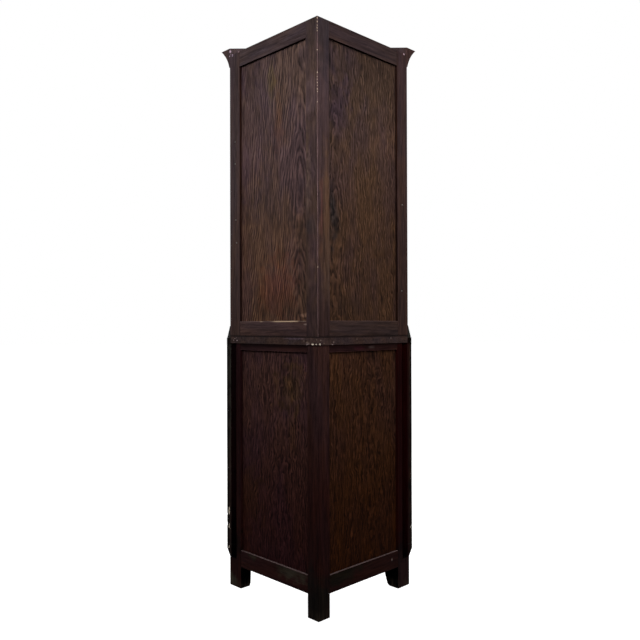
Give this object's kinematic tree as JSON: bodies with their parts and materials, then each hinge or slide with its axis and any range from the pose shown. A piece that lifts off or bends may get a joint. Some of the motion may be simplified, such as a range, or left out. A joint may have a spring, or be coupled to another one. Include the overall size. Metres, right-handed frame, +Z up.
{
  "type": "corner cupboard",
  "caption": "Tall two-part corner cupboard with framed back walls, coved cornice, glazed upper door and panelled lower door.",
  "frame": {"origin": "middle of the bounding box on the floor: below the centre of the cupboard", "axes": "+Z up; the front and its doors face -Y; the right-angled back corner points to +Y, so the two back walls face (+X+Y) and (-X+Y)"},
  "size_m": [0.682, 0.3492, 1.855],
  "materials": {
    "stained_frame": "dark walnut stain, worn satin",
    "plywood_panel": "stained fir plywood, satin",
    "lacquer": "black lacquer over gesso, semi-gloss",
    "bare_wood": "unfinished pine, aged",
    "brass": "aged brass",
    "door_glass": "clear window glass"
  },
  "bodies": {
    "case": {"upper_corner_post": "stained_frame", "upper_left_outer_stile": "stained_frame", "upper_right_outer_stile": "stained_frame", "upper_left_bottom_rail": "stained_frame", "upper_right_bottom_rail": "stained_frame", "upper_left_top_rail": "stained_frame", "upper_right_top_rail": "stained_frame", "upper_left_panel": "plywood_panel", "upper_right_panel": "plywood_panel", "corner_leg": "stained_frame", "left_front_leg": "stained_frame", "right_front_leg": "stained_frame", "lower_left_bottom_rail": "stained_frame", "lower_right_bottom_rail": "stained_frame", "lower_left_top_rail": "stained_frame", "lower_right_top_rail": "stained_frame", "lower_left_panel": "plywood_panel", "lower_right_panel": "plywood_panel", "bottom_board": "bare_wood", "lower_shelf": "bare_wood", "waist_board": "stained_frame", "upper_floor_board": "bare_wood", "top_board": "bare_wood", "upper_shelf_low": "bare_wood", "upper_shelf_low_left_cleat": "bare_wood", "upper_shelf_low_right_cleat": "bare_wood", "upper_shelf_high": "bare_wood", "upper_shelf_high_left_cleat": "bare_wood", "upper_shelf_high_right_cleat": "bare_wood", "upper_face_left_stile": "lacquer", "upper_face_right_stile": "lacquer", "upper_face_bottom_rail": "lacquer", "upper_face_frieze_rail": "lacquer", "facade_left_stile": "lacquer", "facade_right_stile": "lacquer", "facade_top_rail": "lacquer", "facade_base_rail": "lacquer", "cornice": "lacquer", "waist_moulding": "lacquer", "upper_door_bottom_hinge_frame_leaf": "brass", "upper_door_top_hinge_frame_leaf": "brass", "lower_door_bottom_hinge_frame_leaf": "brass", "lower_door_top_hinge_frame_leaf": "brass"},
    "upper_door": {"upper_door_hinge_stile": "lacquer", "upper_door_free_stile": "lacquer", "upper_door_bottom_rail": "lacquer", "upper_door_top_rail": "lacquer", "upper_door_glass": "door_glass", "upper_door_glazing_bars": "lacquer", "upper_door_knob": "brass", "upper_door_bottom_hinge_door_leaf": "brass", "upper_door_top_hinge_door_leaf": "brass"},
    "lower_door": {"lower_door_hinge_stile": "lacquer", "lower_door_free_stile": "lacquer", "lower_door_bottom_rail": "lacquer", "lower_door_top_rail": "lacquer", "lower_door_panel": "lacquer", "lower_door_knob": "brass", "lower_door_bottom_hinge_door_leaf": "brass", "lower_door_top_hinge_door_leaf": "brass"}
  },
  "joints": [
    {"name": "upper_door_hinge", "type": "hinge", "parent": "case", "child": "upper_door", "pos_m": [-0.2362, -0.13846, 1.3375], "axis": [0, 0, -1], "range_deg": [0, 110]},
    {"name": "lower_door_hinge", "type": "hinge", "parent": "case", "child": "lower_door", "pos_m": [-0.2362, -0.15246, 0.4685], "axis": [0, 0, -1], "range_deg": [0, 110]}
  ]
}
